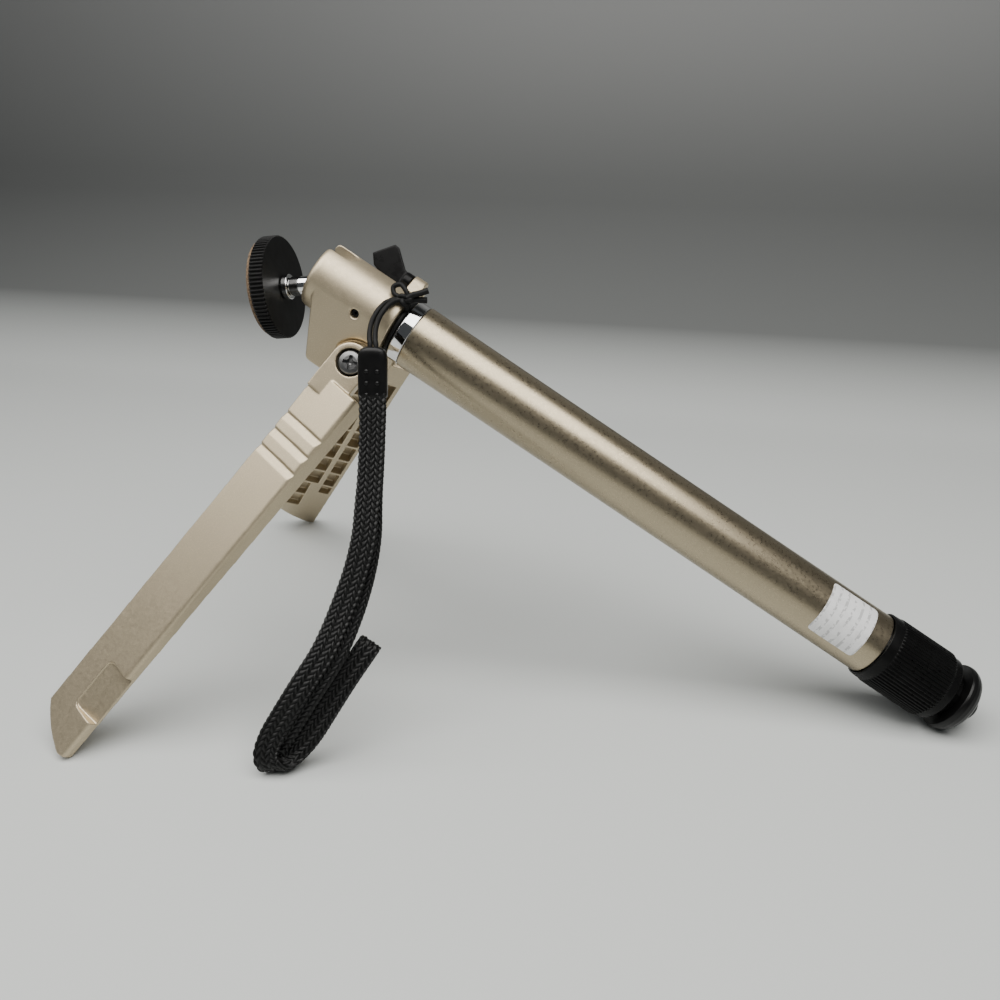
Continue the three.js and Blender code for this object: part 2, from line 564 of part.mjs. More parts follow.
// ---- strap -----------------------------------------------------------------------------------
function addStrap() {
  const vectors = (points) => points.map((point) => new THREE.Vector3(...point));
  const wrap = new THREE.TorusGeometry(CORD.wrap, CORD.diameter / 2, CORD.sides, 28);
  wrap.rotateY(Math.PI / 2).translate(CORD.groove, 0, 0);
  wrap.rotateY(LEAN).translate(0, 0, JOINT_HEIGHT);
  const strands = [-1, 1].map((side) => {
    const route = vectors(STRAND_ROUTE).map((point, index) => {
      const apart = (side * STRAND_SPACING * Math.min(index + 1, 3)) / 6;
      return point.add(new THREE.Vector3(apart, 0, 0));
    });
    return tubeAlong(route, CORD.diameter, CORD.diameter, 10);
  });
  const riser = rod(CORD.wrap, KNOT.reach, CORD.diameter / 2, CORD.sides).translate(0, 0, -CORD.groove);
  const knot = new THREE.SphereGeometry(1, 12, 8).scale(...KNOT.size).translate(KNOT.x, 0, KNOT.reach);
  riser.rotateY(-Math.PI / 2);
  for (const piece of [riser, knot]) {
    piece.rotateX(Math.PI / 2 - KNOT.angle).rotateY(LEAN).translate(0, 0, JOINT_HEIGHT);
  }
  place('neck_cord', join(wrap, riser, knot, ...strands), NYLON, assembly);

  const cap = tubeAlong(vectors([CAP.top, CAP.bottom]), CAP.width, CAP.thick, 4);
  place('strap_cap', cap, RUBBER, assembly);
  const webbing = ribbonAlong(vectors(WEBBING_ROUTE), WEBBING);
  place('strap_webbing', webbing, NYLON, assembly);
}

addHead();
addStud();
addLever();
addTube();
addCollarAndFoot();
addSticker();
addLegs();
addStrap();

// The origin is the middle of the object's own box, without the strap, on the floor.
const STRAP_NODES = ['neck_cord', 'strap_cap', 'strap_webbing'];
assembly.updateMatrixWorld(true);
const extent = new THREE.Box3();
assembly.traverse((object) => {
  if (object.isMesh && !STRAP_NODES.includes(object.name)) {
    extent.union(new THREE.Box3().setFromObject(object, true));
  }
});
const middle = extent.getCenter(new THREE.Vector3());
assembly.position.set(-middle.x, -middle.y, -extent.min.z);

export default assembly;
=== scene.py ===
# Pocket camera monopod on two folding legs: the finished look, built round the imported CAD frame.
# Shapes are drawn in millimetres in the frame they belong to, and placed by that frame's matrix,
# which turns them into the row frame in metres.
import json
import math

import bmesh
import bpy
import numpy as np
from mathutils import Matrix, Vector


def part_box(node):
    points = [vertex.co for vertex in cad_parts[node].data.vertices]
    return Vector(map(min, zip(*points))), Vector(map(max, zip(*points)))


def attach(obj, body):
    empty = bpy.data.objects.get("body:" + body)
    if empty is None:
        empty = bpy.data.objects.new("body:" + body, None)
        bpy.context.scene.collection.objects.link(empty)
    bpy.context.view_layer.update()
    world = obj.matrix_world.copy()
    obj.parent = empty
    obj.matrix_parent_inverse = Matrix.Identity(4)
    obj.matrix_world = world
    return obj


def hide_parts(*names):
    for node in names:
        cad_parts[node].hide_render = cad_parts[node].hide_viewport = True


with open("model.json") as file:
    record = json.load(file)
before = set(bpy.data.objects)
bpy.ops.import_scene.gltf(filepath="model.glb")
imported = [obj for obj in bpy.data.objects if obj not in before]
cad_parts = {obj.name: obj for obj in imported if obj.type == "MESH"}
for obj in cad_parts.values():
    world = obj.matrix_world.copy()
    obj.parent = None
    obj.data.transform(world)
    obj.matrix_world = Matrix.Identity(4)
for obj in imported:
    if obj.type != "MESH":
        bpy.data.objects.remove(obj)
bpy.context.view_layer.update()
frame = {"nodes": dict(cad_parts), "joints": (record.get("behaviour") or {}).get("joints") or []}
JOINTS = {joint["name"]: joint for joint in frame["joints"]}
MM = 0.001
TAU = 2 * math.pi

# ---- dimensions, in millimetres ----------------------------------------------------------------
BALL = {"x": -36.3, "radius": 7.6}
BARREL = {"radius": 13.1, "front": -43.3, "rear": -7.6, "edge": 2.6}
SOCKET = {"mouth": 10.25, "lip": 7.25, "lip_ahead": 3.0, "bore": 8.0}
CORE = {"bore": 5.8, "start": -17.3}
SLOT_HALF = 4.3
SET_SCREW = {"x": -21.3, "z": -0.5, "hole": 1.7}
STEM_DIRECTION = Vector((-0.79, -0.07, -0.6)).normalized()
LEVER = {"y": 15.4, "z": 10.55, "turn": math.radians(-28.1)}
PADDLE = [(-16.3, 2.6), (-18.7, 3.6), (-25.1, 9.1), (-27, 9.3), (-32.5, 1.9), (-29.6, -1.8),
          (-23.4, -3.8), (-16.3, -2.6)]
BOSS = {"radius": 4.2, "start": -13.6, "end": -8.3, "slit": (-10.9, -10.4), "hole": 2.0}
HINGE = {"x": -12.81, "y": 19.98, "z": -14.35, "cant": math.radians(27.1)}
POCKET = {"radius": 9.3, "depth": 6.8}
SCREW_HOLE = {"tip": -16.1, "radius": 2.2}
JOINT_HEIGHT = 138.24
STEM = {"radius": 3.6, "end": 17.6, "pin": 2.4, "pin_end": 23.8}
FLANGE = {"start": 17.9, "end": 20.1, "radius": 4.7, "bore": 2.7}
DISC = {"start": 20.4, "end": 25.9, "radius": 19.2, "bore": 3.55, "teeth": 80, "tooth_depth": 0.6}
CORK_PAD = {"start": 26.2, "end": 27.4, "radius": 17.9}
RING = {"start": -4.9, "end": -0.2, "radius": 12.3, "bore": 9.7}
TUBE = {"start": 0.1, "end": 208.4, "radius": 12.5, "bore": 11.7}
COLLAR_RIBS = {"start": 213.2, "end": 236.0, "count": 58, "depth": 0.55}
SECTIONS = {2: (22.0, 214.0, 10.6, 9.9), 3: (32.3, 219.0, 8.8, 8.1), 4: (42.6, 224.0, 7.0, 6.3),
            5: (52.9, 232.0, 5.2, 4.3)}
STICKER = {"start": 181.5, "end": 201.2, "from": -19, "to": 85, "radius": 12.52, "thick": 0.12,
           "corner": 1.6}
CORD = {"diameter": 1.9, "groove": -6.25, "wrap": 10.7}
KNOT = {"x": -8.2, "reach": 15.7, "angle": math.radians(58.3)}
STRAND_ROUTE = [(-0.6, -8.4, 153.9), (-3.6, -9.2, 153.9), (-5.4, -11.3, 153.3), (-6.4, -14, 152.2),
                (-7.3, -17, 150.4), (-7.4, -21, 148.2), (-6.7, -25, 145.8), (-5.6, -28.2, 143.6),
                (-5, -29.3, 142.3)]
STRAND_SPACING = 2.1
CAP = {"top": (-4.9, -30, 141.8), "bottom": (-4.4, -33.6, 124.5), "width": 10.4, "thick": 5.6}
CAP_DOTS = {"first": 8.4, "apart": 4.1, "aside": 1.9, "sunk": 0.25}
WEBBING = {"width": 8.4, "thick": 2.1, "apart": 3.4, "splay": 4.3, "step": 0.27, "ring": 72,
           "columns": 12, "pitch": 2.4, "depth": 0.75}
WEBBING_ROUTE = [(-4.6, -32.6, 128), (-4.4, -33.8, 124), (-3.8, -37.4, 112), (-3.2, -42.2, 100),
                 (-2.6, -47.5, 89), (-2, -52.6, 78.5), (-3.3, -58.6, 66.4), (-6.2, -66.6, 53.4),
                 (-9.7, -74.9, 42.5), (-15.6, -82.2, 31.9), (-21.5, -87.1, 21.3),
                 (-26.1, -90.5, 12.5), (-27.3, -92.2, 7.7), (-25.9, -91.5, 4.8),
                 (-23.1, -88.5, 4.6), (-19.8, -85.1, 7.5), (-15.1, -81.3, 13.5),
                 (-10.2, -76.1, 22.1), (-4.9, -70.6, 31.4), (0.9, -65.2, 40.8)]

SEEN_RIGHT, SEEN_UP = (0.9672, 0.2539, 0), (-0.1042, 0.3969, 0.9119)     # the camera's own axes


# ---- frames ------------------------------------------------------------------------------------
def basis(x, y, z, origin, scale=MM):
    """The matrix whose columns are these three directions, at this scale, standing at origin."""
    matrix = Matrix.Identity(4)
    for column, axis in enumerate((x, y, z)):
        for row in range(3):
            matrix[row][column] = axis[row] * scale
    for row in range(3):
        matrix[row][3] = origin[row]
    return matrix


ALONG = Vector(JOINTS["collar_turn"]["axis"])
ACROSS = Vector((0, 1, 0))
UP = ALONG.cross(ACROSS)
BALL_CENTRE = Vector(JOINTS["head_tilt"]["pos_m"])
TUBE_FRAME = basis(ALONG, ACROSS, UP, BALL_CENTRE - ALONG * BALL["x"] * MM)
FLOOR_FRAME = basis((1, 0, 0), (0, 1, 0), (0, 0, 1),
                    TUBE_FRAME.translation - Vector((0, 0, JOINT_HEIGHT * MM)))
STUD_FRAME = (TUBE_FRAME @ Matrix.Translation((BALL["x"], 0, 0))
              @ Vector((1, 0, 0)).rotation_difference(STEM_DIRECTION).to_matrix().to_4x4())
LEVER_FRAME = (TUBE_FRAME @ Matrix.Translation((0, LEVER["y"], LEVER["z"]))
               @ Matrix.Rotation(LEVER["turn"], 4, "X"))


def pivot_matrix(side):
    """In the tube's frame: X out along a leg's pivot, from the hinge point."""
    outward = Vector((0, side * math.cos(HINGE["cant"]), math.sin(HINGE["cant"])))
    along = Vector((1, 0, 0))
    point = Vector((HINGE["x"], side * HINGE["y"], HINGE["z"]))
    return basis(outward, along, outward.cross(along), point, 1)


# ---- meshes ------------------------------------------------------------------------------------
def lathe(profile, sides=96, rim=None):
    """A closed solid of revolution about X, from (x, radius) points that start and end on the axis,
    or come back to the first point. rim(x, radius, angle) may change the radius round the rim."""
    hollow = profile[0][1] > 0
    rows = profile[:-1] if hollow else profile
    verts, starts = [], []
    for x, radius in rows:
        starts.append(len(verts))
        if radius == 0:
            verts.append((x, 0, 0))
            continue
        for side in range(sides):
            angle = TAU * side / sides
            r = rim(x, radius, angle) if rim else radius
            verts.append((x, r * math.cos(angle), r * math.sin(angle)))
    faces = []
    count = len(rows)
    for row in range(count if hollow else count - 1):
        here, after = starts[row], starts[(row + 1) % count]
        one, two = rows[row][1] == 0, rows[(row + 1) % count][1] == 0
        for side in range(sides):
            turn = (side + 1) % sides
            if one and two:
                break
            if one:
                faces.append((here, after + turn, after + side))
            elif two:
                faces.append((here + side, here + turn, after))
            else:
                faces.append((here + side, here + turn, after + turn, after + side))
    return verts, faces


def rounded(points, steps=5):
    """(x, radius, fillet) points with each corner that has a fillet turned into an arc."""
    made = []
    for index, point in enumerate(points):
        if len(point) < 3 or point[2] == 0 or index in (0, len(points) - 1):
            made.append(tuple(point[:2]))
            continue
        here = Vector(point[:2])
        before = Vector(points[index - 1][:2]) - here
        after = Vector(points[index + 1][:2]) - here
        half = before.angle(after) / 2
        reach = min(point[2] / math.tan(half), before.length * 0.49, after.length * 0.49)
        start, end = here + before.normalized() * reach, here + after.normalized() * reach
        for step in range(steps + 1):
            t = step / steps
            bend = start * (1 - t) ** 2 + here * 2 * t * (1 - t) + end * t * t
            made.append((bend.x, bend.y))
    return made


def prism(outline, start, end, axis="Y"):
    """A polygon in the two other axes, standing from start to end along the named one."""
    place = {"Y": lambda a, b, c: (a, c, b), "X": lambda a, b, c: (c, a, b),
             "Z": lambda a, b, c: (a, b, c)}[axis]
    count = len(outline)
    verts = [place(a, b, c) for c in (start, end) for a, b in outline]
    faces = [tuple(range(count)), tuple(reversed(range(count, 2 * count)))]
    for index in range(count):
        after = (index + 1) % count
        faces.append((index, index + count, after + count, after))
    return verts, faces


def block(x, y, z):
    return prism([(x[0], y[0]), (x[1], y[0]), (x[1], y[1]), (x[0], y[1])], z[0], z[1], "Z")


def moved(shape, matrix):
    verts, faces = shape
    return [tuple(matrix @ Vector(v)) for v in verts], faces


def mesh_of(name, *shapes):
    mesh = bpy.data.meshes.new(name)
    verts, faces = [], []
    for shape_verts, shape_faces in shapes:
        base = len(verts)
        verts.extend(shape_verts)
        faces.extend(tuple(base + i for i in face) for face in shape_faces)
    mesh.from_pydata(verts, [], faces)
    work = bmesh.new()
    work.from_mesh(mesh)
    bmesh.ops.recalc_face_normals(work, faces=work.faces)
    work.to_mesh(mesh)
    work.free()
    return mesh


def new_object(name, mesh):
    obj = bpy.data.objects.new(name, mesh)
    bpy.context.scene.collection.objects.link(obj)
    return obj


def applied(obj):
    """Turns the object's modifiers into its mesh."""
    graph = bpy.context.evaluated_depsgraph_get()
    mesh = bpy.data.meshes.new_from_object(obj.evaluated_get(graph))
    obj.modifiers.clear()
    obj.data = mesh
    return obj


def solid(name, first, joined=(), cut=()):
    """One object from the first shape, joined with some and cut by others, each closed."""
    obj = new_object(name, mesh_of(name, first))
    tools = []
    for operation, shapes in (("UNION", joined), ("DIFFERENCE", cut)):
        for shape in shapes:
            tool = new_object(name + "_tool", mesh_of(name + "_tool", shape))
            tools.append(tool)
            modifier = obj.modifiers.new(operation, "BOOLEAN")
            modifier.operation, modifier.object, modifier.solver = operation, tool, "EXACT"
    applied(obj)
    for tool in tools:
        bpy.data.objects.remove(tool)
    return obj


def softened(obj, voxel, rounds, keep=1.0):
    """Cast or moulded look: the edges take a small even radius."""
    remesh = obj.modifiers.new("skin", "REMESH")
    remesh.mode, remesh.voxel_size = "VOXEL", voxel
    smooth = obj.modifiers.new("round", "SMOOTH")
    smooth.factor, smooth.iterations = 0.5, rounds
    if keep < 1:
        thin = obj.modifiers.new("thin", "DECIMATE")
        thin.ratio = keep
    return applied(obj)


def hollow(start, end, radius, bore, first, last):
    """The profile of a plain ring or tube, with a fillet on each outer edge."""
    return [(start, bore), (start, radius, first), (end, radius, last), (end, bore), (start, bore)]


def finish_mesh(obj, matrix, sharp=None, weighted=True):
    obj.data.transform(matrix)
    obj.data.shade_smooth()
    if sharp is not None:
        obj.data.set_sharp_from_angle(angle=math.radians(sharp))
    if weighted:
        modifier = obj.modifiers.new("normals", "WEIGHTED_NORMAL")
        modifier.keep_sharp = True
    return obj


def piece(obj, body, slot, material, *nodes):
    obj.data.materials.clear()
    obj.data.materials.append(material)
    if nodes:
        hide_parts(*nodes)
    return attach(obj, body)


def turned(name, profile, matrix, body, slot, material, *nodes, sides=96, rim=None, sharp=40):
    obj = new_object(name, mesh_of(name, lathe(rounded(profile), sides, rim)))
    finish_mesh(obj, matrix, sharp)
    return piece(obj, body, slot, material, *nodes)


# ---- materials ---------------------------------------------------------------------------------
class Shader:
    """A material made of nodes: node() adds one, and values or sockets fill its inputs."""

    def __init__(self, name):
        self.material = bpy.data.materials.new(name)
        self.material.use_nodes = True
        self.tree = self.material.node_tree
        self.main = self.tree.nodes["Principled BSDF"]
        self.place = self.node("ShaderNodeTexCoord").outputs["Object"]

    def fill(self, node, inputs):
        for key, value in inputs.items():
            socket = node.inputs[key]
            if isinstance(value, bpy.types.NodeSocket):
                self.tree.links.new(value, socket)
            else:
                socket.default_value = value

    def node(self, kind, settings=None, **inputs):
        made = self.tree.nodes.new(kind)
        for key, value in (settings or {}).items():
            setattr(made, key, value)
        self.fill(made, inputs)
        return made

    def noise(self, scale, detail=2.0, rough=0.5, where=None):
        made = self.node("ShaderNodeTexNoise", Vector=where or self.place, Scale=scale,
                         Detail=detail, Roughness=rough)
        return made.outputs["Fac"]

    def span(self, value, low, high, out_low, out_high):
        made = self.node("ShaderNodeMapRange", Value=value, **{"From Min": low, "From Max": high,
                         "To Min": out_low, "To Max": out_high})
        return made.outputs["Result"]

    def mix(self, share, first, second):
        made = self.node("ShaderNodeMix", {"data_type": "RGBA"})
        self.fill_index(made, {0: share, 6: first, 7: second})
        return made.outputs[2]

    def fill_index(self, node, inputs):
        for index, value in inputs.items():
            socket = node.inputs[index]
            if isinstance(value, bpy.types.NodeSocket):
                self.tree.links.new(value, socket)
            else:
                socket.default_value = value

    def math(self, operation, first, second=0.0):
        made = self.node("ShaderNodeMath", {"operation": operation})
        self.fill_index(made, {0: first, 1: second})
        return made.outputs[0]

    def bump(self, height, strength, distance):
        made = self.node("ShaderNodeBump", Height=height, Strength=strength, Distance=distance)
        self.fill(self.main, {"Normal": made.outputs["Normal"]})

    def set(self, **inputs):
        self.fill(self.main, {key.replace("_", " "): value for key, value in inputs.items()})


def grey(value):
    return (value, value, value, 1)


def paint(name, light, dark, rough, metallic):
    """Metallic paint: fine bright flakes over a slightly cloudy base."""
    s = Shader(name)
    cloud = s.span(s.noise(60, 3), 0.3, 0.7, 0, 0.35)
    flake = s.span(s.noise(2600, 1, 0.4), 0.5, 0.75, 0, 0.5)
    base = s.mix(cloud, light, dark)
    bright = (min(1, light[0] * 1.3), min(1, light[1] * 1.3), min(1, light[2] * 1.28), 1)
    s.set(Base_Color=s.mix(flake, base, bright))
    s.set(Roughness=s.span(s.noise(900, 2), 0.3, 0.7, rough - 0.04, rough + 0.05),
          Metallic=metallic)
    s.bump(s.noise(1500, 3, 0.6), 0.3, 0.00003)
    return s.material


def metal(name, colour, rough, metallic=1.0, streak=0.05, gloss=0.5):
    s = Shader(name)
    worn = s.noise(220, 4, 0.6)
    s.set(Base_Color=s.mix(s.span(worn, 0.35, 0.65, 0, 1), colour,
                           (colour[0] * 0.9, colour[1] * 0.9, colour[2] * 0.9, 1)))
    s.set(Roughness=s.span(worn, 0.3, 0.7, rough, rough + streak), Metallic=metallic,
          Specular_IOR_Level=gloss)
    s.bump(s.noise(1800, 2), 0.08, 0.00002)
    return s.material


def moulded(name, colour, rough, dust=0.02, gloss=0.5):
    """Moulded plastic or rubber: fine grain, and a little dust in random patches."""
    s = Shader(name)
    patch = s.span(s.noise(110, 4, 0.6), 0.45, 0.75, 0, 1)
    dusty = tuple(channel + dust for channel in colour[:3]) + (1,)
    s.set(Base_Color=s.mix(patch, colour, dusty))
    s.set(Roughness=s.span(s.noise(400, 3), 0.3, 0.7, rough - 0.06, rough + 0.06),
          Specular_IOR_Level=gloss)
    s.bump(s.noise(2600, 2), 0.5, 0.00003)
    return s.material


CHAMPAGNE = paint("champagne_metallic_paint", (0.52, 0.44, 0.31, 1), (0.46, 0.39, 0.275, 1),
                  rough=0.44, metallic=0.85)
TUBE_PAINT = paint("satin_tube_paint", (0.38, 0.322, 0.225, 1), (0.34, 0.288, 0.2, 1),
                   rough=0.3, metallic=0.95)
CHROME = metal("bright_chrome", grey(0.82), 0.05, streak=0.04)
STEEL = metal("dull_plated_steel", grey(0.24), 0.3, streak=0.12)
ALUMINIUM = metal("drawn_aluminium", grey(0.62), 0.3, streak=0.1)
ANODISED = metal("black_anodised_aluminium", grey(0.004), 0.36, 0.1, streak=0.1, gloss=0.2)
PLASTIC = moulded("black_moulded_plastic", grey(0.004), 0.3, dust=0.002, gloss=0.12)
INNER = moulded("white_inner_plastic", grey(0.6), 0.5)
RUBBER = moulded("black_rubber", grey(0.004), 0.34, dust=0.002, gloss=0.25)


def cork():
    s = Shader("fine_cork")
    cells = s.node("ShaderNodeTexVoronoi", Vector=s.place, Scale=900).outputs["Distance"]
    grain = s.span(s.noise(1500, 3), 0.35, 0.65, 0, 1)
    tone = s.mix(grain, (0.2, 0.135, 0.08, 1), (0.07, 0.045, 0.028, 1))
    s.set(Base_Color=tone, Roughness=0.9)
    s.bump(cells, 0.5, 0.0002)
    return s.material


def label():
    """A white paper label: rows of worn grey print marks, which spell nothing."""
    s = Shader("white_label")
    along = s.node("ShaderNodeVectorMath", {"operation": "DOT_PRODUCT"})
    s.fill_index(along, {0: s.place, 1: tuple(ALONG)})
    row = s.math("FRACT", s.math("MULTIPLY", along.outputs["Value"], 310.0))
    printed = s.math("COMPARE", row, 0.5)
    printed.node.inputs[2].default_value = 0.17
    worn = s.span(s.noise(620, 3, 0.6), 0.47, 0.53, 0, 0.5)
    marks = s.math("MULTIPLY", printed, worn)
    scuff = s.span(s.noise(300, 5, 0.7), 0.45, 0.62, 0, 0.5)
    paper = s.mix(scuff, grey(0.8), grey(0.66))
    s.set(Base_Color=s.mix(marks, paper, grey(0.22)), Roughness=0.38)
    s.bump(s.noise(500, 2), 0.1, 0.00003)
    return s.material


def nylon(name, light, dark, rough=0.5):
    """Black nylon yarn. A mesh's crest attribute, 0 in the hollows and 1 on top, blends the dark
    tone into the light one: painted shade in the hollows and a painted highlight on the yarn tops.
    """
    s = Shader(name)
    crest = s.node("ShaderNodeAttribute", {"attribute_name": "crest"}).outputs["Fac"]
    fibre = s.noise(5200, 2, 0.6)
    s.set(Base_Color=s.mix(s.span(crest, 0.45, 0.95, 0, 1), dark, light), Roughness=rough,
          Specular_IOR_Level=0.25)
    s.bump(fibre, 0.4, 0.00005)
    return s.material


CORK, LABEL = cork(), label()
# Braid colours: the lighter one is a painted highlight on the yarn tops, the darker one painted
# shade in the dips between the yarns.
BRAID_WITH_PAINTED_SHEEN = nylon("braided_black_nylon_painted_sheen", grey(0.012), grey(0.001), 0.42)
THIN_CORD = nylon("thin_black_cord", grey(0.006), grey(0.002), 0.6)
DARK_STEEL = metal("blackened_steel", grey(0.03), 0.4, streak=0.1)


# ---- camera ------------------------------------------------------------------------------------
camera = bpy.data.objects.new("camera", bpy.data.cameras.new("camera"))
bpy.context.scene.collection.objects.link(camera)
camera.data.sensor_width, camera.data.lens = 36, 33.48
camera.data.clip_start, camera.data.clip_end = 0.01, 20
camera.matrix_world = basis(SEEN_RIGHT, SEEN_UP, (0.2316, -0.8820, 0.4104),
                            (0.06639, -0.32624, 0.22599), 1)
bpy.context.scene.camera = camera


# ---- strap -------------------------------------------------------------------------------------
def curve_through(points, count):
    """Points evenly along a smooth curve through the given ones."""
    knots = [Vector(p) for p in points]
    ends = [knots[0] * 2 - knots[1]] + knots + [knots[-1] * 2 - knots[-2]]
    fine = []
    for i in range(1, len(ends) - 2):
        a, b, c, d = ends[i - 1:i + 3]
        for step in range(24):
            t = step / 24
            fine.append(0.5 * ((2 * b) + (c - a) * t + (2 * a - 5 * b + 4 * c - d) * t * t
                               + (3 * b - a - 3 * c + d) * t ** 3))
    fine.append(knots[-1])
    run = np.concatenate([[0], np.cumsum([(b - a).length for a, b in zip(fine, fine[1:])])])
    at = np.linspace(0, run[-1], count)
    return np.stack([np.interp(at, run, [p[i] for p in fine]) for i in range(3)], axis=1)


def smooth_path(points, rounds):
    path = np.array(points)
    for _ in range(rounds):
        path[1:-1] = (path[:-2] + 2 * path[1:-1] + path[2:]) / 4
    return path


def unit(vectors):
    return vectors / np.linalg.norm(vectors, axis=-1, keepdims=True)


def swept(path, wide, section):
    """A closed tube along the path. wide is each point's width direction, and section gives the
    (across, out) points in millimetres, either once or for every point of the path."""
    tangent = unit(np.gradient(path, axis=0))
    side = unit(wide - (wide * tangent).sum(1, keepdims=True) * tangent)
    out = np.cross(tangent, side)
    section = np.broadcast_to(section, (len(path),) + np.shape(section)[-2:])
    count = section.shape[1]
    verts = (path[:, None] + side[:, None] * section[..., :1] + out[:, None] * section[..., 1:])
    faces = []
    for i in range(len(path) - 1):
        for k in range(count):
            a, b = i * count + k, i * count + (k + 1) % count
            faces.append((a, b, b + count, a + count))
    last = (len(path) - 1) * count
    faces.append(tuple(reversed(range(count))))
    faces.append(tuple(last + k for k in range(count)))
    return [tuple(v) for v in verts.reshape(-1, 3)], faces


def round_section(radius, sides=14):
    angle = np.arange(sides) * TAU / sides
    return np.stack([radius * np.cos(angle), radius * np.sin(angle)], axis=1)


def to_row(path):
    return [tuple(FLOOR_FRAME @ Vector(p)) for p in path]


def tube_point(x, radius, angle):
    """A point in the floor frame, given round the tube: angle from the left side up."""
    inner = FLOOR_FRAME.inverted() @ TUBE_FRAME
    return tuple(inner @ Vector((x, -radius * math.cos(angle), radius * math.sin(angle))))


def braided_sections(count, step):
    """Every section of a flat tubular braid, and how far each of its points stands up, from 0 to 1.
    The yarns lie in columns, and lean left and right in turn."""
    radius, flat = WEBBING["thick"] / 2, WEBBING["width"] - WEBBING["thick"]
    rim = 2 * flat + TAU * radius
    base, normal = [], []
    places = np.arange(WEBBING["ring"]) / WEBBING["ring"] * rim
    for place in places:
        if place < flat:
            base.append((flat / 2 - place, radius))
            normal.append((0, 1))
        elif place < flat + math.pi * radius:
            angle = math.pi / 2 + (place - flat) / radius
            base.append((-flat / 2 + radius * math.cos(angle), radius * math.sin(angle)))
            normal.append((math.cos(angle), math.sin(angle)))
        elif place < 2 * flat + math.pi * radius:
            base.append((-flat / 2 + place - flat - math.pi * radius, -radius))
            normal.append((0, -1))
        else:
            angle = -math.pi / 2 + (place - 2 * flat - math.pi * radius) / radius
            base.append((flat / 2 + radius * math.cos(angle), radius * math.sin(angle)))
            normal.append((math.cos(angle), math.sin(angle)))
    base, normal = np.array(base), np.array(normal)
    column = places / rim * WEBBING["columns"]
    share = column % 1
    lean = np.where(np.floor(column) % 2 == 0, 1, -1)
    along = np.arange(count)[:, None] * step / WEBBING["pitch"]
    phase = along + lean * (share - 0.5) * 0.75 + (lean > 0) * 0.5
    yarn = (0.5 + 0.5 * np.cos(TAU * phase)) ** 0.6 * np.sin(np.pi * (0.08 + 0.84 * share)) ** 0.5
    return base + normal * (WEBBING["depth"] * (yarn - 0.45))[..., None], yarn


def strap_webbing():
    """The doubled webbing: its front layer, the bend at the loop's end, and the layer behind."""
    count = 240
    share = np.linspace(0, 1, count)
    centre = smooth_path(curve_through(WEBBING_ROUTE, count), 4)
    tangent = unit(np.gradient(centre, axis=0))
    right = np.array(SEEN_RIGHT)
    wide = unit(right - (tangent @ right)[:, None] * tangent)
    out = np.cross(tangent, wide)
    slide = np.interp(share, [0, 0.18, 0.4, 0.66, 0.74, 1], [0, 5, 58, 62, 12, 0])
    slide = np.radians(slide)[:, None]
    apart = np.interp(share, [0, 0.04, 0.2, 0.45, 0.66, 0.76, 1],
                      [2.2, WEBBING["apart"], WEBBING["apart"], WEBBING["splay"], WEBBING["splay"],
                       WEBBING["apart"], WEBBING["apart"]])[:, None] / 2
    shift = (out * np.cos(slide) - wide * np.sin(slide)) * apart
    near, far = centre + shift, centre - shift
    half = float(apart[-1, 0])
    bend = [centre[-1] + shift[-1] * math.cos(angle) + tangent[-1] * half * 1.3 * math.sin(angle)
            for angle in (math.pi * step / 12 for step in range(1, 12))]
    loop = np.concatenate([near, np.array(bend), far[::-1]])
    sides = np.concatenate([wide, np.repeat(wide[-1:], 11, 0), wide[::-1]])
    run = np.concatenate([[0], np.cumsum(np.linalg.norm(np.diff(loop, axis=0), axis=1))])
    places = np.linspace(0, run[-1], int(run[-1] / WEBBING["step"]))
    path = np.stack([np.interp(places, run, loop[:, i]) for i in range(3)], axis=1)
    sides = np.stack([np.interp(places, run, sides[:, i]) for i in range(3)], axis=1)
    path = smooth_path(path, 14)
    sections, crest = braided_sections(len(path), WEBBING["step"])
    from_cap = np.minimum(places, run[-1] - places)
    sections[..., 0] *= np.interp(from_cap, [0, 4, 16], [1.08, 1.08, 1])[:, None]
    mesh = mesh_of("webbing_loop", swept(path, sides, sections))
    # The crest attribute feeds the braid material's painted highlight on the yarn tops and painted
    # shade in the dips.
    mesh.attributes.new("crest", "FLOAT", "POINT").data.foreach_set("value", crest.ravel())
    obj = new_object("webbing_loop", mesh)
    finish_mesh(obj, FLOOR_FRAME, weighted=False)
    piece(obj, "frame", "nylon", BRAID_WITH_PAINTED_SHEEN, "strap_webbing")
    return obj


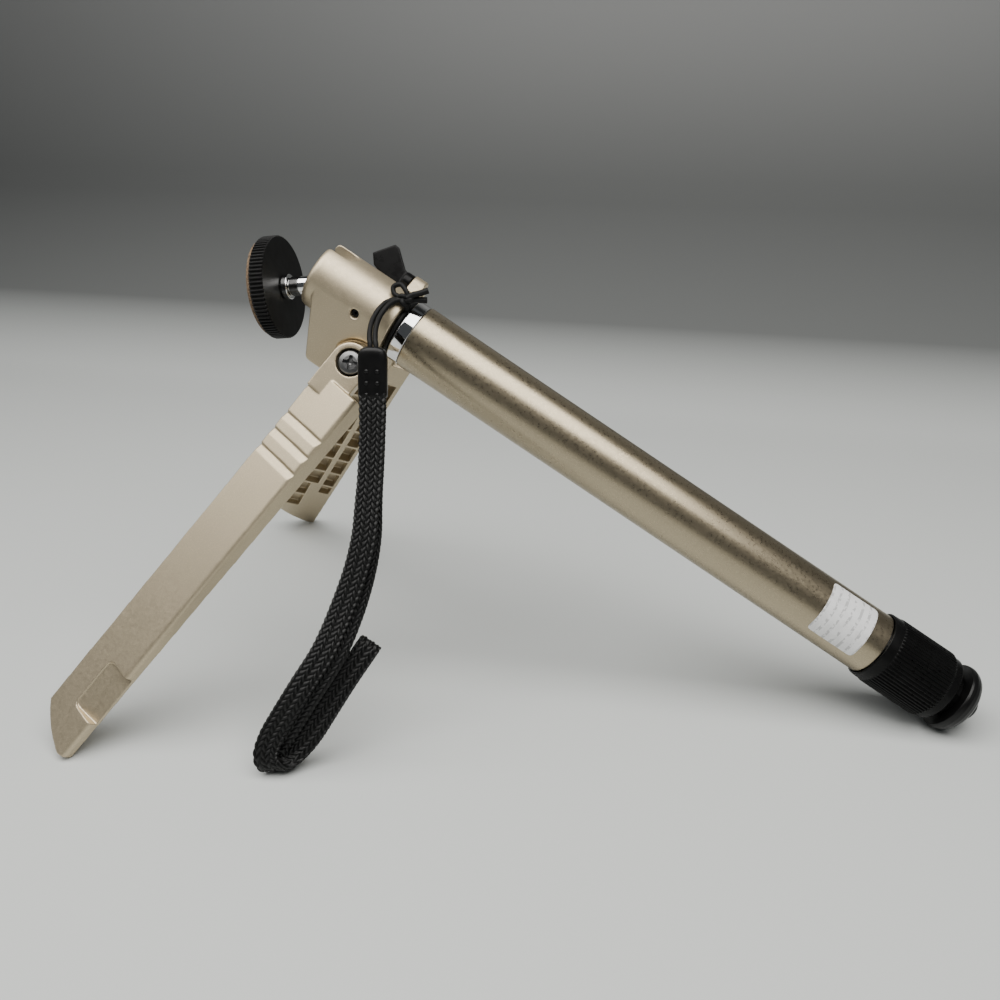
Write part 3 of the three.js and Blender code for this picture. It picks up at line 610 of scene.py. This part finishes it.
def neck_cord():
    """One thin cord: from the knot round the neck groove, down to the cap, and up again."""
    wrap = [tube_point(CORD["groove"], CORD["wrap"], KNOT["angle"] + TAU * step / 28)
            for step in range(29)]
    lift = [tube_point(CORD["groove"] - 0.6, 13.2, KNOT["angle"] - 0.06)]
    leave = [tube_point(CORD["groove"] - 0.8, 13.6, KNOT["angle"] + 0.1)]
    start = [tube_point(KNOT["x"], KNOT["reach"] - 0.4, KNOT["angle"])]
    strands = []
    for side in (-1, 1):
        strands.append([(x + side * STRAND_SPACING * min(i + 1, 3) / 6, y, z)
                        for i, (x, y, z) in enumerate(STRAND_ROUTE)])
    inside = [(-6.1, -30.4, 139.5), (-5.6, -30.8, 137.9), (-4.9, -30.9, 137.3),
              (-4.1, -30.8, 137.9), (-3.6, -30.4, 139.5)]
    route = start + lift + wrap + leave + strands[0] + inside + strands[1][::-1]
    path = smooth_path(curve_through(route, 420), 4)
    data = bpy.data.curves.new("neck_cord_loop", "CURVE")
    data.dimensions, data.bevel_depth, data.bevel_resolution = "3D", CORD["diameter"] / 2 * MM, 6
    data.use_fill_caps = True
    spline = data.splines.new("POLY")
    row_path = to_row(path)
    spline.points.add(len(row_path) - 1)
    for point, place in zip(spline.points, row_path):
        point.co = (*place, 1)
    data.materials.append(THIN_CORD)
    obj = new_object("neck_cord_loop", data)
    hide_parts("neck_cord")
    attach(obj, "frame")
    return obj, row_path


def knot():
    """The overhand knot that closes the cord, with its two cut ends and a small eye above it."""
    middle = Vector(tube_point(KNOT["x"], KNOT["reach"], KNOT["angle"]))
    frame_x, frame_z = Vector(SEEN_RIGHT), Vector(SEEN_UP)
    frame_y = frame_z.cross(frame_x)

    def placed(spots):
        return np.array([middle + frame_x * a + frame_z * b + frame_y * c for a, b, c in spots])

    turns = []
    for step in range(73):
        t = TAU * step / 72
        turns.append((math.sin(t) + 2 * math.sin(2 * t), math.cos(t) - 2 * math.cos(2 * t),
                      -math.sin(3 * t)))
    lines = [placed(np.array(turns) * np.array([0.8, 0.62, 0.75]))]
    eye = [(-2.4, 1.2, 0.4), (-4.2, 2.6, 0.8), (-4.3, 5.0, 0.9), (-1.6, 5.6, 0.2), (0.4, 3.0, -0.4),
           (0.9, 1.0, -0.2)]
    stub_a = [(0.6, 0.4, -0.6), (3.0, 1.6, -0.9), (5.4, 2.2, -0.9), (8.4, 3.2, -0.7)]
    stub_b = [(0.8, -0.4, 0.5), (3.2, 0.2, 0.9), (5.6, 0.1, 1.0), (7.8, 0.0, 0.9)]
    lines += [placed(curve_through(spots, 40)) for spots in (eye, stub_a, stub_b)]
    made = []
    for line, size in zip(lines, (1, 1, 1.2, 1.2)):
        wide = np.repeat(np.array([[0.3, 0.9, 0.31]]), len(line), 0)
        made.append(swept(line, wide, round_section(CORD["diameter"] / 2 * size)))
    obj = new_object("cord_knot", mesh_of("cord_knot", *made))
    finish_mesh(obj, FLOOR_FRAME, weighted=False)
    return piece(obj, "frame", "nylon", THIN_CORD)


def strap_cap():
    """The moulded cap that holds the cord and the webbing, with six raised dots."""
    top, bottom = Vector(CAP["top"]), Vector(CAP["bottom"])
    down = (bottom - top).normalized()
    wide = Vector(SEEN_RIGHT)
    wide = (wide - down * wide.dot(down)).normalized()
    out = wide.cross(down)
    length = (bottom - top).length
    rows = [(0.0, 0.42, 0.5), (0.25, 0.6, 0.68), (0.8, 0.78, 0.84), (1.6, 0.9, 0.94),
            (2.8, 0.97, 0.98), (4.5, 1.0, 1.0), (length * 0.6, 1.0, 1.0), (length - 1.2, 1.0, 1.0),
            (length - 0.3, 0.98, 0.97), (length, 0.93, 0.9)]
    count = 48
    verts, faces = [], []
    for along, across_share, out_share in rows:
        for k in range(count):
            angle = TAU * k / count
            c, s = math.cos(angle), math.sin(angle)
            a = CAP["width"] / 2 * across_share * math.copysign(abs(c) ** 0.62, c)
            b = CAP["thick"] / 2 * out_share * math.copysign(abs(s) ** 0.62, s)
            verts.append(tuple(top + down * along + wide * a + out * b))
    for row in range(len(rows) - 1):
        for k in range(count):
            after = (k + 1) % count
            faces.append((row * count + k, row * count + after, (row + 1) * count + after,
                          (row + 1) * count + k))
    faces.append(tuple(reversed(range(count))))
    faces.append(tuple((len(rows) - 1) * count + k for k in range(count)))
    shapes = [(verts, faces)]
    face_out = out if out.y < 0 else -out
    dot = lathe([(-0.4, 0), (-0.4, 0.85), (0.2, 0.8), (0.5, 0.62), (0.66, 0.34), (0.72, 0)], 24)
    surface = CAP["thick"] / 2 - CAP_DOTS["sunk"]
    for row in range(3):
        for column in (-1, 1):
            spot = (top + down * (CAP_DOTS["first"] + row * CAP_DOTS["apart"])
                    + wide * column * CAP_DOTS["aside"] + face_out * surface)
            shapes.append(moved(dot, basis(face_out, wide, face_out.cross(wide), spot, 1)))
    obj = new_object("strap_end_cap", mesh_of("strap_end_cap", *shapes))
    finish_mesh(obj, FLOOR_FRAME, 50)
    return piece(obj, "frame", "rubber", RUBBER, "strap_cap")


cap_piece, knot_piece = strap_cap(), knot()
cord_piece, cord_path = neck_cord()
strap_webbing()


# ---- head --------------------------------------------------------------------------------------
def turn_to(axis_from, axis_to):
    return Vector(axis_from).rotation_difference(Vector(axis_to)).to_matrix().to_4x4()


def quadratic(a, b, c, steps=8):
    return [tuple(Vector(a) * (1 - t) ** 2 + Vector(b) * 2 * t * (1 - t) + Vector(c) * t * t)
            for t in (step / steps for step in range(1, steps + 1))]


def head():
    radius, front, rear = BARREL["radius"], BARREL["front"], BARREL["rear"]
    barrel = lathe(rounded([(front, 0), (front, radius, BARREL["edge"]), (rear, radius, 0.5),
                            (rear, 0)], 10), 160)
    outline = [(-38, 0), (-38.2, -4.5), (-30.9, -25.3)]
    outline += quadratic((-30.9, -25.3), (-30.3, -26.8), (-28.5, -26.9))
    outline += [(-11, -27.2)] + quadratic((-11, -27.2), (-9.2, -27.2), (-9.2, -25.4))
    outline += [(rear, -13), (rear, 0)]
    cheeks = prism(outline, -radius, radius)
    at_lever = Matrix.Translation((0, LEVER["y"], LEVER["z"]))
    boss_start, boss_end, boss_radius = BOSS["start"], BOSS["end"], BOSS["radius"]
    boss = moved(lathe(rounded([(boss_start, 0), (boss_start, boss_radius, 0.5),
                                (boss_end, boss_radius, 0.5), (boss_end, 0)]), 64), at_lever)
    reach = math.hypot(LEVER["y"], LEVER["z"])
    tilt = Matrix.Rotation(math.atan2(LEVER["z"], LEVER["y"]), 4, "X")
    web = moved(block((boss_start, boss_end), (8.5, reach), (-boss_radius, boss_radius)), tilt)
    lip = BALL["x"] - SOCKET["lip_ahead"]
    mouth, bore = SOCKET["mouth"], SOCKET["bore"]
    socket = lathe([(front - 1, 0), (front - 1, mouth + 0.75), (front, mouth), (lip, SOCKET["lip"]),
                    (lip + 0.8, bore), (CORE["start"], bore), (CORE["start"], CORE["bore"]),
                    (rear + 1, CORE["bore"]), (rear + 1, 0)], 96)
    slot = block((front - 1, BALL["x"]), (-SLOT_HALF, SLOT_HALF), (0, radius + 1))
    slot_end = moved(lathe([(0, 0), (0, SLOT_HALF), (radius + 1, SLOT_HALF), (radius + 1, 0)], 48),
                     Matrix.Translation((BALL["x"], 0, 0)) @ turn_to((1, 0, 0), (0, 0, 1)))
    hole = SET_SCREW["hole"]
    cheek_hole = moved(lathe([(bore - 1, 0), (bore - 1, hole), (radius - 0.35, hole),
                              (radius + 0.5, hole + 0.85), (radius + 0.5, 0)], 32),
                       Matrix.Translation((SET_SCREW["x"], 0, SET_SCREW["z"]))
                       @ turn_to((1, 0, 0), (0, -1, 0)))
    lever_hole = moved(lathe([(boss_start - 1, 0), (boss_start - 1, BOSS["hole"]),
                              (boss_end + 1, BOSS["hole"]), (boss_end + 1, 0)], 32), at_lever)
    slit = moved(block(BOSS["slit"], (reach - 2.4, reach + 6), (-8, 8)), tilt)
    cuts = [socket, slot, slot_end, cheek_hole, lever_hole, slit]
    for side in (-1, 1):
        at = pivot_matrix(side)
        cuts.append(moved(lathe([(-POCKET["depth"], 0), (-POCKET["depth"], POCKET["radius"]),
                                 (8, POCKET["radius"]), (8, 0)], 96), at))
        tip, bolt = SCREW_HOLE["tip"], SCREW_HOLE["radius"]
        cuts.append(moved(lathe([(tip, 0), (tip, bolt), (0, bolt), (0, 0)], 32), at))
    obj = solid("head_body", barrel, [cheeks, boss, web], cuts)
    softened(obj, 0.32, 4, 0.5)
    finish_mesh(obj, TUBE_FRAME)
    return piece(obj, "frame", "champagne_paint", CHAMPAGNE, "head_block")


def leg(name):
    """The cast leg, from its CAD solid, with a small radius on every edge."""
    node = "leg_" + name
    obj = new_object("cast_leg_" + name, frame["nodes"][node].data.copy())
    hinge = Vector(JOINTS[name + "_leg_fold"]["pos_m"])
    low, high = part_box(node)
    centre = (low + high) / 2
    along = (centre - hinge).normalized()
    axis = Vector(JOINTS[name + "_leg_fold"]["axis"])
    flat = (axis - along * axis.dot(along)).normalized()
    local = basis(along, flat, along.cross(flat), hinge)
    obj.data.transform(local.inverted())
    softened(obj, 0.3, 2, 0.5)
    finish_mesh(obj, local)
    return piece(obj, name + "_leg", "champagne_paint", CHAMPAGNE, node)


def pivot_screw(name, side):
    profile = rounded([(-15.5, 0), (-15.5, 1.3), (-14.5, 1.9), (-1.6, 1.9), (-1.6, 4.35),
                       (-0.3, 4.35, 0.5), (0.1, 3.9, 0.4), (0.35, 2.6, 0.6), (0.4, 0)], 6)
    wide, arm = 5.4, 1.3
    cross = [block((-1.5, 2), (-wide / 2, wide / 2), (-arm / 2, arm / 2)),
             block((-1.5, 2), (-arm / 2, arm / 2), (-wide / 2, wide / 2)),
             lathe([(-2, 0), (-1.5, 0.8), (0.1, 1.3), (1, 1.6), (1, 0)], 24)]
    turn = Matrix.Rotation(math.radians(22), 4, "X")
    cuts = [moved(shape, turn) for shape in cross]
    obj = solid("phillips_screw_" + name, lathe(profile, 64), (), cuts)
    finish_mesh(obj, TUBE_FRAME @ pivot_matrix(side), 30)
    return piece(obj, "frame", "steel", STEEL, "pivot_screw_" + name)


def knob():
    root = BOSS["start"] - 3.9
    hub = lathe(rounded([(root, 0), (root, 3.7, 0.7), (BOSS["start"] - 0.3, 3.7, 0.5),
                         (BOSS["start"] - 0.3, 0)]), 64)
    plate = prism(PADDLE, -2.6, 2.6)
    hole = lathe([(root + 0.6, 0), (root + 0.6, 2), (BOSS["start"], 2), (BOSS["start"], 0)], 32)
    obj = solid("lock_lever_knob", hub, [plate], [hole])
    softened(obj, 0.22, 10, 0.6)
    finish_mesh(obj, LEVER_FRAME)
    return piece(obj, "lever", "black_plastic", PLASTIC, "lock_knob")


head()
for side_name, sign in (("left", -1), ("right", 1)):
    leg(side_name)
    pivot_screw(side_name, sign)
knob()


# ---- ball stud and platform --------------------------------------------------------------------
def ball_profile():
    radius, stem, pin = BALL["radius"], STEM["radius"], STEM["pin"]
    stop = math.pi - math.asin(stem / radius)
    arc = [(-radius * math.cos(a), radius * math.sin(a)) for a in np.linspace(0, stop, 40)]
    arc[0] = (-radius, 0)
    return arc + [(STEM["end"], stem, 0.25), (STEM["end"], pin), (STEM["pin_end"], pin),
                  (STEM["pin_end"], 0)]


turned("ball_and_stem", ball_profile(), STUD_FRAME, "ball_head", "chrome", CHROME, "ball_stud")
turned("stem_nut", hollow(**FLANGE, first=0.3, last=0.3), STUD_FRAME, "ball_head", "chrome", CHROME,
       "stud_flange")


def wave(angle, count, flat):
    """1 on the ridges of a knurled rim and 0 in its grooves."""
    return min(1.0, max(0.0, 0.5 + flat * math.cos(angle * count)))


def disc_rim(x, radius, angle):
    share = 1.0 if radius > DISC["radius"] - 0.45 else 0.0
    return radius - share * DISC["tooth_depth"] * (1 - wave(angle, DISC["teeth"], 0.85))


def disc_profile():
    start, end, radius, bore = (DISC[key] for key in ("start", "end", "radius", "bore"))
    return [(start, bore), (start, radius - 0.5, 0.15), (start + 0.4, radius, 0.15),
            (end - 0.4, radius, 0.25), (end, radius - 0.4), (end, bore), (start, bore)]


turned("platform_wheel", disc_profile(), STUD_FRAME, "platform", "black_anodised", ANODISED,
       "platform_disc", sides=800, rim=disc_rim, sharp=45)
turned("cork_facing", hollow(**CORK_PAD, bore=DISC["bore"], first=0.2, last=0.4), STUD_FRAME,
       "platform", "cork", CORK, "cork_pad", sides=128)


def camera_screw():
    """A quarter-inch camera screw with a real helical thread."""
    sides, pitch, root, crest = 48, 1.27, 2.65, 3.175
    start, end = 24.1, 32.8
    first = 27.6
    rows = 64
    verts, faces = [(start, 0, 0)], []
    places = [start] + list(np.linspace(first - 0.4, end, rows))
    for index, x in enumerate(places):
        for k in range(sides):
            turn = k / sides
            height = abs(((x / pitch - turn) % 1) - 0.5) * 2
            r = crest if index < 2 else root + (crest - root) * min(1, max(0, 1.35 * height - 0.15))
            r = min(r, crest - max(0, x - end + 0.7) * 0.9)
            angle = TAU * turn
            verts.append((x, r * math.cos(angle), r * math.sin(angle)))
    verts.append((end, 0, 0))
    for row in range(len(places) - 1):
        for k in range(sides):
            after = (k + 1) % sides
            a, b = 1 + row * sides, 1 + (row + 1) * sides
            faces.append((a + k, a + after, b + after, b + k))
    last = 1 + (len(places) - 1) * sides
    for k in range(sides):
        after = (k + 1) % sides
        faces.append((0, 1 + after, 1 + k))
        faces.append((last + k, last + after, len(verts) - 1))
    obj = new_object("threaded_camera_screw", mesh_of("threaded_camera_screw", (verts, faces)))
    finish_mesh(obj, STUD_FRAME, 35, weighted=False)
    return piece(obj, "ball_head", "steel", STEEL, "camera_screw")


camera_screw()

# ---- neck, tube, collar and foot ---------------------------------------------------------------
turned("neck_ring", hollow(**RING, first=0.5, last=0.35), TUBE_FRAME, "frame", "chrome", CHROME,
       "chrome_ring", sides=160)
turned("tube_shell", hollow(**TUBE, first=0.18, last=0.18), TUBE_FRAME, "frame", "tube_paint",
       TUBE_PAINT, "outer_tube", sides=160)
for number, (start, end, outer, bore) in SECTIONS.items():
    turned(f"inner_tube_{number}", hollow(start, end, outer, bore, 0.15, 0.15), TUBE_FRAME,
           f"extension_{number}", "aluminium", ALUMINIUM, f"section_{number}")


def collar_rim(x, radius, angle):
    if not COLLAR_RIBS["start"] < x < COLLAR_RIBS["end"] or radius <= 13:
        return radius
    return radius - COLLAR_RIBS["depth"] * (1 - wave(angle, COLLAR_RIBS["count"], 0.75))


turned("ribbed_collar",
       [(208.7, 12.9), (208.7, 13.55, 0.4), (212.6, 13.75, 0.4), (213.4, 14.05, 0.3),
        (235.6, 14.05, 0.4), (235.9, 13.5), (236.3, 13.3, 0.2), (239, 13.2, 0.6), (240, 12.5, 0.5),
        (240, 11.2), (213.9, 11.2), (213.9, 12.9), (208.7, 12.9)],
       TUBE_FRAME, "collar", "black_plastic", PLASTIC, "twist_collar", sides=696, rim=collar_rim,
       sharp=50)
turned("foot_tip",
       [(248, 0), (248, 8.9), (243.5, 8.9), (243.5, 13.2, 0.3), (244.3, 13.5, 0.6),
        (245.6, 13.6, 0.9), (247.2, 13.1, 1.2), (248.6, 12.2, 1.6), (249.8, 10.6, 2),
        (250.8, 8.4, 2), (251.3, 6.2, 0.8), (251.8, 5.2, 0.6), (253.4, 5.0, 1), (254.3, 3.9, 0.8),
        (254.6, 2.4, 0.8), (254.6, 0)],
       TUBE_FRAME, "extension_5", "rubber", RUBBER, "rubber_foot", sides=128, sharp=60)


def sticker():
    low, high = math.radians(STICKER["from"]), math.radians(STICKER["to"])
    radius, corner = STICKER["radius"], STICKER["corner"]
    angles = np.concatenate([low + np.linspace(0, corner, 8) / radius,
                             np.linspace(low, high, 50)[5:-5],
                             high - np.linspace(corner, 0, 8) / radius])
    verts, faces = [], []
    for angle in angles:
        edge = min(angle - low, high - angle) * radius
        inset = corner - math.sqrt(max(0, corner ** 2 - (corner - min(edge, corner)) ** 2))
        ends = (STICKER["start"] + inset, STICKER["end"] - inset)
        for r in (radius, radius + STICKER["thick"]):
            for x in ends if r == radius else ends[::-1]:
                verts.append((x, -r * math.cos(angle), r * math.sin(angle)))
    for row in range(len(angles) - 1):
        for k in range(4):
            a, b = row * 4, row * 4 + 4
            faces.append((a + k, a + (k + 1) % 4, b + (k + 1) % 4, b + k))
    last = (len(angles) - 1) * 4
    faces += [(3, 2, 1, 0), (last, last + 1, last + 2, last + 3)]
    obj = new_object("paper_label", mesh_of("paper_label", (verts, faces)))
    finish_mesh(obj, TUBE_FRAME, 40, weighted=False)
    return piece(obj, "frame", "sticker", LABEL, "label_sticker")


sticker()

# ---- CAD nodes that are shown as they are ------------------------------------------------------
SHOWN = [(INNER, ("ball_seat", "friction_plug", "guide_bush")),
         # lock_collet gets black plastic as painted shade, so the gap between the tube end and the
         # collar reads dark.
         (PLASTIC, ("lock_collet", "foot_ferrule")),
         (DARK_STEEL, ("set_screw", "washer")),
         (STEEL, ("pressure_plug", "lock_screw")),
         (ALUMINIUM, ("neck_plug",))]
for shown_material, starts in SHOWN:
    for node_name, node in frame["nodes"].items():
        if node_name.startswith(starts):
            node.data.materials.clear()
            node.data.materials.append(shown_material)
            node.data.shade_smooth()
            node.data.set_sharp_from_angle(angle=math.radians(30))


# ---- floor and light ---------------------------------------------------------------------------
def floor():
    s = Shader("pale_floor_painted_wall_shade")
    height = s.node("ShaderNodeSeparateXYZ", Vector=s.place).outputs["Z"]
    # A pale floor. Up the sweep its colour is painted shade, darkest from about 3 to 14 cm high,
    # and painted light makes it lighter again higher up.
    pale, painted_wall_shade = (0.565, 0.585, 0.575, 1), (0.15, 0.156, 0.154, 1)
    tone = s.mix(s.span(height, 0.002, 0.035, 0, 1), pale, painted_wall_shade)
    tone = s.mix(s.span(height, 0.03, 0.12, 0, 1), tone, (0.095, 0.099, 0.098, 1))
    tone = s.mix(s.span(height, 0.14, 0.34, 0, 1), tone, (0.17, 0.174, 0.173, 1))
    s.set(Base_Color=tone, Roughness=0.5)
    half, reach, radius, top = 2.4, 0.3, 0.42, 1.8
    profile = [(-3.0, 0.0), (reach, 0.0)]
    for step in range(1, 25):
        angle = math.pi / 2 * step / 24
        profile.append((reach + radius * math.sin(angle), radius - radius * math.cos(angle)))
    profile.append((reach + radius, top))
    verts = [(x, y, z) for y, z in profile for x in (-half, half)]
    faces = [(2 * row, 2 * row + 1, 2 * row + 3, 2 * row + 2) for row in range(len(profile) - 1)]
    mesh = mesh_of("studio_sweep", (verts, faces))
    mesh.shade_smooth()
    mesh.materials.append(s.material)
    new_object("studio_sweep", mesh)


def area_light(name, place, aim, size, power, tint=(1, 1, 1)):
    data = bpy.data.lights.new(name, "AREA")
    data.shape, data.size, data.size_y = "RECTANGLE", size[0], size[1]
    data.energy, data.color = power, tint
    obj = bpy.data.objects.new(name, data)
    bpy.context.scene.collection.objects.link(obj)
    obj.location = place
    obj.rotation_euler = (Vector(aim) - Vector(place)).to_track_quat("-Z", "Y").to_euler()


floor()
area_light("top_softbox", (0.02, -0.24, 0.82), (0.02, -0.04, 0.05), (1.3, 0.7), 16.5,
           (1, 0.985, 0.955))
area_light("left_softbox", (-0.9, -0.2, 0.7), (0, 0, 0.08), (0.3, 0.3), 1.5)
world = bpy.data.worlds.new("studio")
bpy.context.scene.world = world
world.use_nodes = True
world.node_tree.nodes["Background"].inputs["Color"].default_value = (0.9, 0.95, 1.0, 1)
world.node_tree.nodes["Background"].inputs["Strength"].default_value = 0.07
